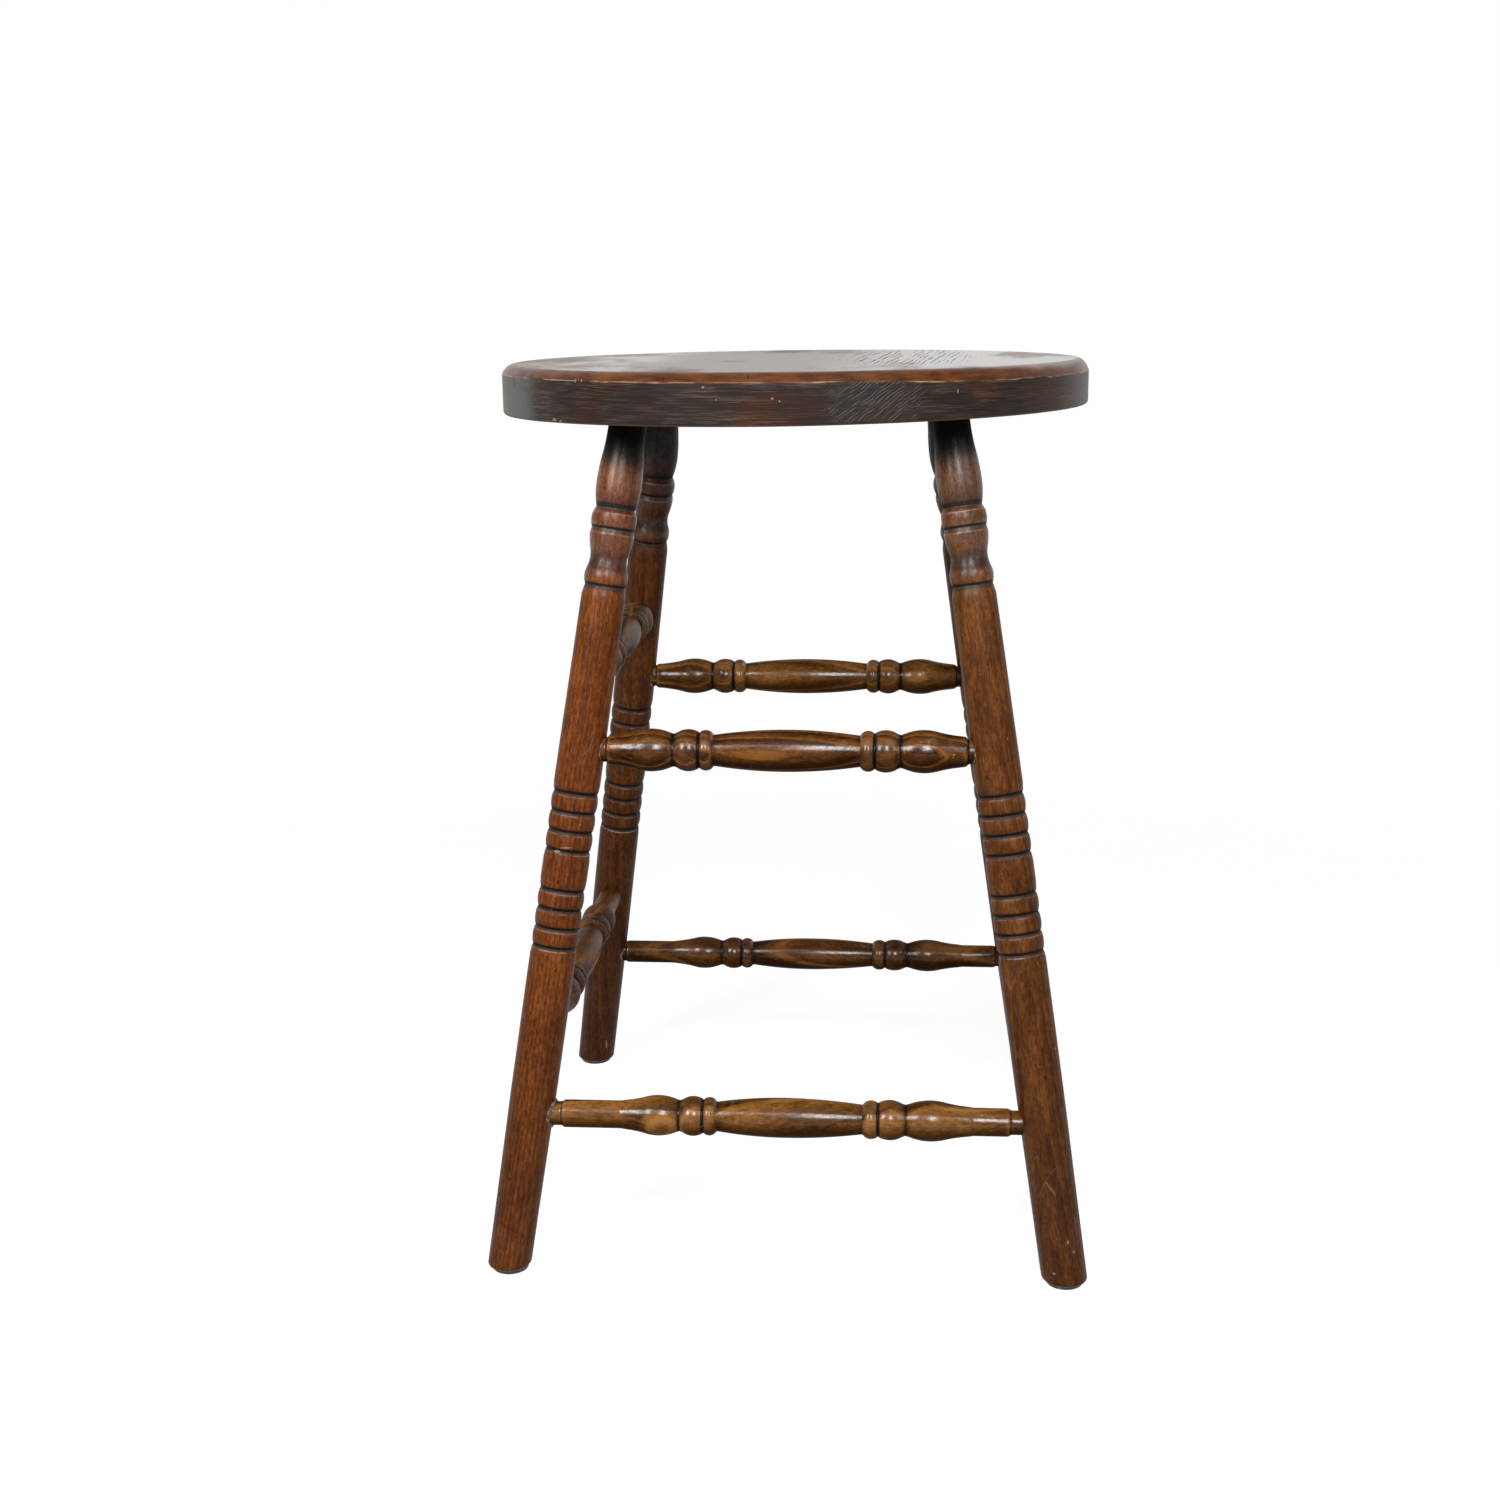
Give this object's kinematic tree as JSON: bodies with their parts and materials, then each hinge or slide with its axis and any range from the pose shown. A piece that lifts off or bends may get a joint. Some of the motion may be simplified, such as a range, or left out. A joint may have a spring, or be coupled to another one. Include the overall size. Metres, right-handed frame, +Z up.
{
  "type": "farmhouse stool",
  "caption": "Round wooden stool with a board seat on raked turned legs, tied by turned stretchers at several heights.",
  "frame": {"origin": "on the floor, under the centre of the round seat", "axes": "+Z up; -Y the front, the side that the picture is taken from; +X to the right seen from the front"},
  "size_m": [0.413, 0.413, 0.61],
  "materials": {
    "seat_wood": "dark stained, worn and waxed",
    "leg_wood": "reddish brown stain under lacquer",
    "stretcher_wood": "golden brown stain under lacquer",
    "glide_plastic": "black, scuffed",
    "nail_steel": "bright"
  },
  "bodies": {
    "root": {"seat_board_left": "seat_wood", "seat_board_centre_left": "seat_wood", "seat_board_centre_right": "seat_wood", "seat_board_right": "seat_wood", "leg_front_left": "leg_wood", "leg_front_right": "leg_wood", "leg_back_left": "leg_wood", "leg_back_right": "leg_wood", "stretcher_front_upper": "stretcher_wood", "stretcher_front_lower": "stretcher_wood", "stretcher_back_upper": "stretcher_wood", "stretcher_back_lower": "stretcher_wood", "stretcher_left_upper": "stretcher_wood", "stretcher_left_lower": "stretcher_wood", "stretcher_right_upper": "stretcher_wood", "stretcher_right_lower": "stretcher_wood", "glide_front_left": "glide_plastic", "glide_front_right": "glide_plastic", "glide_back_left": "glide_plastic", "glide_back_right": "glide_plastic", "glide_nails": "nail_steel"}
  },
  "joints": []
}
